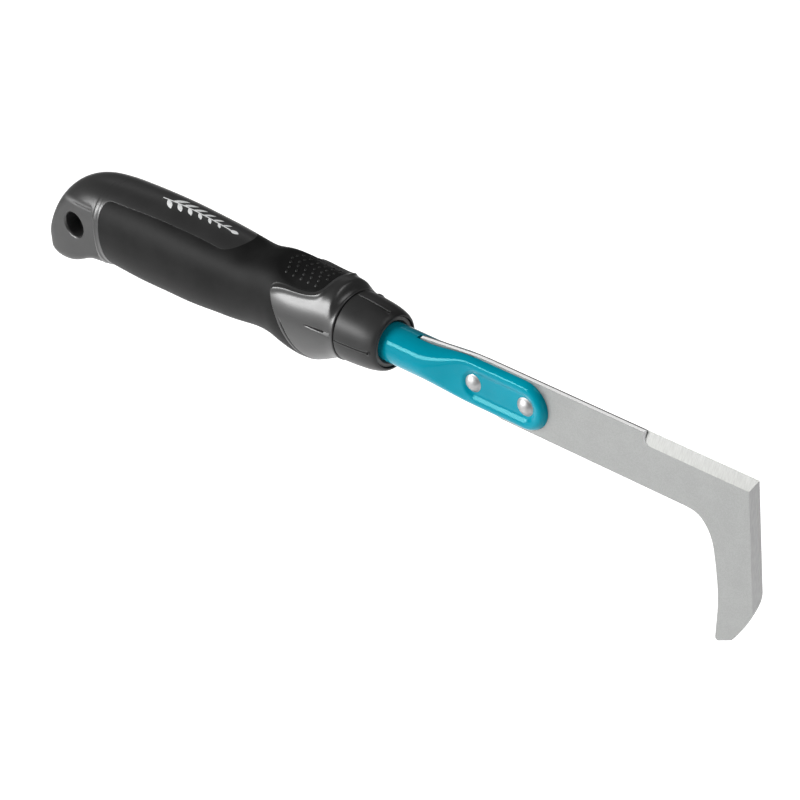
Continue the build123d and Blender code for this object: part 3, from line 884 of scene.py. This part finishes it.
# Studio.
studio = {
    # Metres. The floor is bright up to floorBright from its centre and dim past floorDim;
    # floorSide is the direction its fade runs in.
    "floorDrop": -0.30, "floorSize": 6.0, "world": 0.12, "floorGlow": 0.66,
    "floorCentre": (-0.32, 0.33), "floorBright": 1.1, "floorDim": 2.4,
    "floorSide": (0.72, 0.69), "floorFade": (-0.62, -0.36), "fadeStrength": 0.75,
    "lightsAim": (15, 0, -10),  # millimetres on the tool axis
    # name: (direction to the light, distance, width, height, radiance)
    "lights": {"strip": ((-0.55, -0.765, 0.34), 1.3, 1.05, 0.34, 20.0),
               "front fill": ((-0.50, -0.84, -0.10), 1.5, 1.6, 0.9, 1.7),
               "back edge": ((-0.60, 0.62, 0.50), 1.4, 1.2, 0.12, 0.9),
               "top": ((0.45, 0.15, 0.88), 1.4, 0.8, 0.8, 3.0),
               "right fill": ((0.9, -0.35, 0.10), 1.6, 0.8, 0.8, 1.1)},
}
camera = {"azimuth": 43.97, "elevation": 33.20, "roll": -2.22, "lens": 116.58,
          "place": (603.16, -603.27, 522.85)}


def turnTo(forwardZ, up):  # rotation whose local z points along forwardZ
    z = Vector(forwardZ).normalized()
    x = Vector(up).cross(z).normalized()
    return Matrix((x, z.cross(x), z)).transposed().to_4x4()


def onAxis(point):
    return Vector(((point[0] + seamX) * mm, point[1] * mm, (point[2] + axisZ) * mm))


def paleFloor():
    # One flat sheet; its glow dims with the distance from its centre, and past a straight
    # line on one side, both eased.
    mesh = bpy.data.meshes.new("floor")
    size, z = studio["floorSize"], studio["floorDrop"]
    mesh.from_pydata([(-size, -size, z), (size, -size, z), (size, size, z), (-size, size, z)],
                     [], [(0, 1, 2, 3)])
    p = Paint("pale floor", Roughness=0.9, Emission_Strength=studio["floorGlow"])
    x, y, _ = p.axes()
    x, y = x * mm - studio["floorCentre"][0], y * mm - studio["floorCentre"][1]
    away = (x * x + y * y) ** 0.5
    side = x * studio["floorSide"][0] + y * studio["floorSide"][1]
    dim = p.step(away + 0.1 * p.noise(2, 2), studio["floorBright"], studio["floorDim"])
    front = 1 - p.step(side, *studio["floorFade"])
    dim = p.step(dim + studio["fadeStrength"] * front, 0, 1)
    p.paint("Base Color", p.mix(dim, grey(0.88), grey(0.45)))
    p.paint("Emission Color", p.mix(dim, grey(1.0), grey(0.15)))
    mesh.materials.append(p.material)
    floor = bpy.data.objects.new("floor", mesh)
    bpy.context.scene.collection.objects.link(floor)


def softLights():  # flat lamps that face the tool, power = radiance * pi * area
    for name, (direction, far, wide, tall, radiance) in studio["lights"].items():
        data = bpy.data.lights.new(name, "AREA")
        data.shape, data.size, data.size_y = "RECTANGLE", wide, tall
        data.energy = radiance * math.pi * wide * tall
        light = bpy.data.objects.new(name, data)
        aim = Vector(direction).normalized()
        place = onAxis(studio["lightsAim"]) + aim * far
        light.matrix_world = Matrix.Translation(place) @ turnTo(aim, (0, 0, 1))
        bpy.context.scene.collection.objects.link(light)
    world = bpy.data.worlds.new("studio")
    world.use_nodes = True
    world.node_tree.nodes["Background"].inputs["Color"].default_value = (1, 1, 1, 1)
    world.node_tree.nodes["Background"].inputs["Strength"].default_value = studio["world"]
    bpy.context.scene.world = world


def placeCamera():  # looks back along its azimuth and elevation, then rolls about that line
    a, e, r = (math.radians(camera[k]) for k in ("azimuth", "elevation", "roll"))
    back = Vector((math.sin(a) * math.cos(e), -math.cos(a) * math.cos(e), math.sin(e)))
    right = Vector((math.cos(a), math.sin(a), 0))
    up = back.cross(right)
    right, up = math.cos(r) * right + math.sin(r) * up, math.cos(r) * up - math.sin(r) * right
    data = bpy.data.cameras.new("camera")
    data.lens, data.sensor_width = camera["lens"], 36
    data.clip_start, data.clip_end = 0.05, 20
    eye = bpy.data.objects.new("camera", data)
    turn = Matrix((right, up, back)).transposed().to_4x4()
    eye.matrix_world = Matrix.Translation(onAxis(camera["place"])) @ turn
    bpy.context.scene.collection.objects.link(eye)
    bpy.context.scene.camera = eye


paleFloor()
softLights()
placeCamera()
bpy.context.scene.view_settings.view_transform = "Standard"
print("studio set")

bpy.context.view_layer.update()
